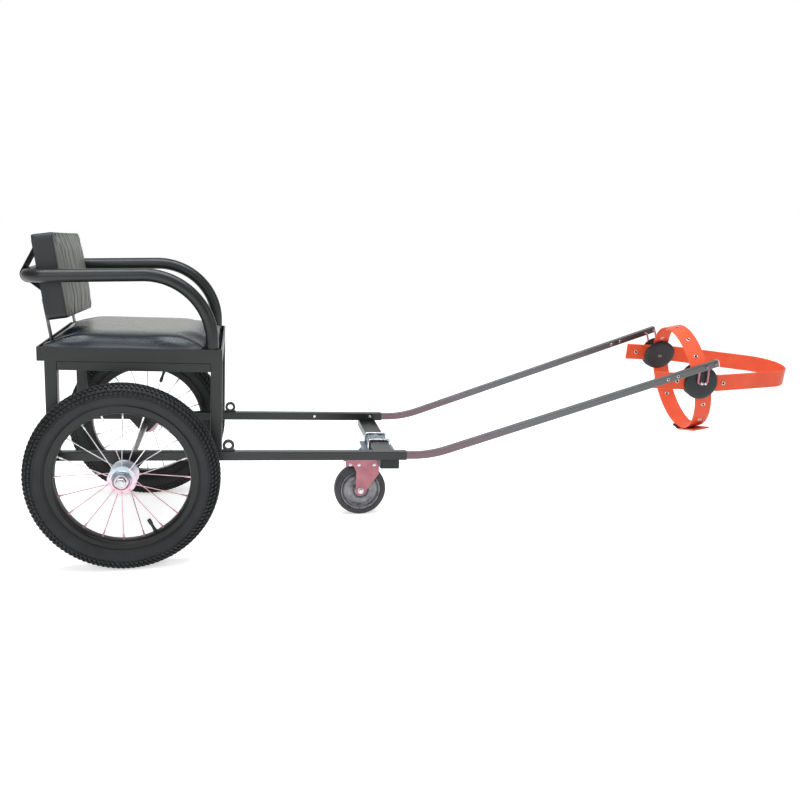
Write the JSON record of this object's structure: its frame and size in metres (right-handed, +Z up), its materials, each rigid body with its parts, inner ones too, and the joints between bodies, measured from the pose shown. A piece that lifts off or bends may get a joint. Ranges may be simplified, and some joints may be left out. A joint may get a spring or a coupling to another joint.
{
  "type": "dog cart",
  "caption": "One-seat dog cart on two wire wheels and a front swivel caster, with a padded seat in a bent tube armrest and telescoping shafts that end in a strap harness.",
  "frame": {"origin": "on the floor, under the middle of the overall box", "axes": "+X forward towards the harness, +Y to the sitter's left, +Z up"},
  "size_m": [1.872, 0.626, 0.7022],
  "materials": {
    "tyre": "moulded black rubber",
    "rim_black": "black enamel",
    "zinc": "bright zinc plate",
    "zinc_warm": "zinc plate with a warm pink passivation",
    "spoke_steel": "bright wire",
    "axle_steel": "drawn steel bar",
    "plywood": "plywood",
    "leatherette": "black leatherette",
    "leatherette_grey": "gathered grey-black leatherette",
    "caster_rubber": "grey rubber",
    "caster_plastic": "grey moulded plastic",
    "galvanised": "galvanised tube",
    "strap": "orange coated webbing",
    "black_plastic": "black moulded plastic",
    "black_paint": "black powder coat"
  },
  "bodies": {
    "frame": {"axle": "axle_steel", "axle_bracket_left": "black_paint", "axle_nut_left": "zinc", "axle_bracket_right": "black_paint", "axle_nut_right": "zinc", "rail_left": "black_paint", "rail_right": "black_paint", "rear_leg_left": "black_paint", "front_post_left": "black_paint", "rear_leg_right": "black_paint", "front_post_right": "black_paint", "side_bar_left": "black_paint", "side_bar_right": "black_paint", "cross_bar_rear": "black_paint", "cross_bar_front": "black_paint", "seat_tray": "black_paint", "seat_board": "plywood", "seat_cushion": "leatherette", "armrest_tube": "black_paint", "back_strip_left": "zinc", "back_strip_right": "zinc", "back_board": "plywood", "back_pad": "leatherette_grey", "back_bracket_left": "black_paint", "back_bracket_right": "black_paint", "tow_eye_left": "black_paint", "tow_eye_right": "black_paint", "cross_tube": "black_paint", "u_bolt_left": "zinc", "u_bolt_right": "zinc", "caster_plate": "zinc"},
    "wheel_left": {"tyre_left": "tyre", "rim_left": "rim_black", "hub_left": "zinc", "spokes_left": "spoke_steel"},
    "wheel_right": {"tyre_right": "tyre", "rim_right": "rim_black", "hub_right": "zinc", "spokes_right": "spoke_steel"},
    "caster_fork": {"caster_fork": "zinc_warm", "caster_bolt": "zinc"},
    "caster_wheel": {"caster_tread": "caster_rubber", "caster_core": "caster_plastic"},
    "shafts": {"shaft_left": "galvanised", "shaft_right": "galvanised", "girth_strap": "strap", "breast_strap": "strap", "disc_left": "black_plastic", "inner_disc_left": "black_plastic", "hanger_left": "zinc", "disc_right": "black_plastic", "inner_disc_right": "black_plastic", "hanger_right": "zinc", "girth_buckle": "black_plastic", "girth_tongue": "strap"}
  },
  "joints": [
    {"name": "wheel_left_spin", "type": "hinge", "parent": "frame", "child": "wheel_left", "pos_m": [-0.73301, 0.261, 0.203], "axis": [0, 1, 0], "continuous": true},
    {"name": "wheel_right_spin", "type": "hinge", "parent": "frame", "child": "wheel_right", "pos_m": [-0.73301, -0.261, 0.203], "axis": [0, 1, 0], "continuous": true},
    {"name": "caster_swivel", "type": "hinge", "parent": "frame", "child": "caster_fork", "pos_m": [-0.1726, 0, 0.15481], "axis": [0.0443, 0, 0.999], "continuous": true},
    {"name": "caster_spin", "type": "hinge", "parent": "caster_fork", "child": "caster_wheel", "pos_m": [-0.1946, 0, 0.065], "axis": [0, 1, 0], "continuous": true},
    {"name": "shafts_slide", "type": "slide", "parent": "frame", "child": "shafts", "axis": [0.999, 0, -0.0443], "range_m": [0, 0.15]}
  ]
}
